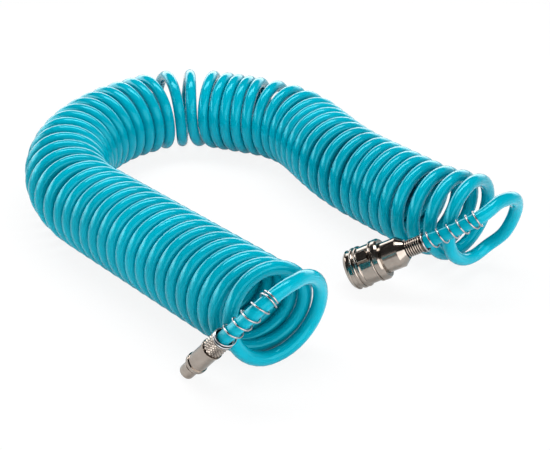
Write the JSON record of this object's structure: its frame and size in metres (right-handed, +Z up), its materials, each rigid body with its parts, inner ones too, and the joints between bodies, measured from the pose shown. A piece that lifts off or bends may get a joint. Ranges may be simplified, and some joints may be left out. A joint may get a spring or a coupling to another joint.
{
  "type": "coiled air hose",
  "caption": "Recoil air hose: plastic tube wound in a long helix and laid in a horseshoe, with a plug at one end and a quick coupler at the other",
  "frame": {"origin": "middle of the part's box, on the floor that it lies on", "axes": "+Z up, both open ends of the horseshoe face -Y and +X, where the plug and the coupler lie"},
  "size_m": [0.3123, 0.3268, 0.061],
  "materials": {
    "hose_plastic": "glossy teal polyurethane tube",
    "plated_metal": "nickel-plated, slightly warm, turned and polished",
    "spring_steel": "bright drawn steel wire and ground balls",
    "seal_rubber": "black nitrile rubber"
  },
  "bodies": {
    "root": {"hose": "hose_plastic", "plug_body": "plated_metal", "plug_nut": "plated_metal", "plug_spring": "spring_steel", "adapter": "plated_metal", "adapter_gasket": "seal_rubber", "socket_body": "plated_metal", "retaining_ring": "spring_steel", "sleeve_spring": "spring_steel", "lip_seal": "seal_rubber", "valve_spring": "spring_steel", "coupler_nut": "plated_metal", "coupler_spring": "spring_steel"},
    "sleeve": {"sleeve": "plated_metal"},
    "valve": {"valve_poppet": "plated_metal", "valve_seal": "seal_rubber"},
    "ball_1": {"ball_1": "spring_steel"},
    "ball_2": {"ball_2": "spring_steel"},
    "ball_3": {"ball_3": "spring_steel"},
    "ball_4": {"ball_4": "spring_steel"}
  },
  "joints": [
    {"name": "sleeve_slide", "type": "slide", "parent": "root", "child": "sleeve", "axis": [0.8554, -0.1355, 0.5], "range_m": [0, 0.0046], "stiffness_N_per_m": 2500, "springref_m": -0.003, "deforming": ["sleeve_spring"]},
    {"name": "valve_slide", "type": "slide", "parent": "root", "child": "valve", "axis": [0.8554, -0.1355, 0.5], "range_m": [0, 0.0038], "stiffness_N_per_m": 800, "springref_m": -0.002, "deforming": ["valve_spring"]},
    {"name": "ball_1_slide", "type": "slide", "parent": "root", "child": "ball_1", "axis": [0.4598, 0.6431, -0.6124], "range_m": [0, 0.00076]},
    {"name": "ball_2_slide", "type": "slide", "parent": "root", "child": "ball_2", "axis": [-0.2386, 0.7537, 0.6124], "range_m": [0, 0.00076]},
    {"name": "ball_3_slide", "type": "slide", "parent": "root", "child": "ball_3", "axis": [-0.4598, -0.6431, 0.6124], "range_m": [0, 0.00076]},
    {"name": "ball_4_slide", "type": "slide", "parent": "root", "child": "ball_4", "axis": [0.2386, -0.7537, -0.6124], "range_m": [0, 0.00076]}
  ],
  "couplings": [
    {"joint": "ball_1_slide", "follows": "sleeve_slide", "ratio": 0.16304},
    {"joint": "ball_2_slide", "follows": "sleeve_slide", "ratio": 0.16304},
    {"joint": "ball_3_slide", "follows": "sleeve_slide", "ratio": 0.16304},
    {"joint": "ball_4_slide", "follows": "sleeve_slide", "ratio": 0.16304}
  ]
}
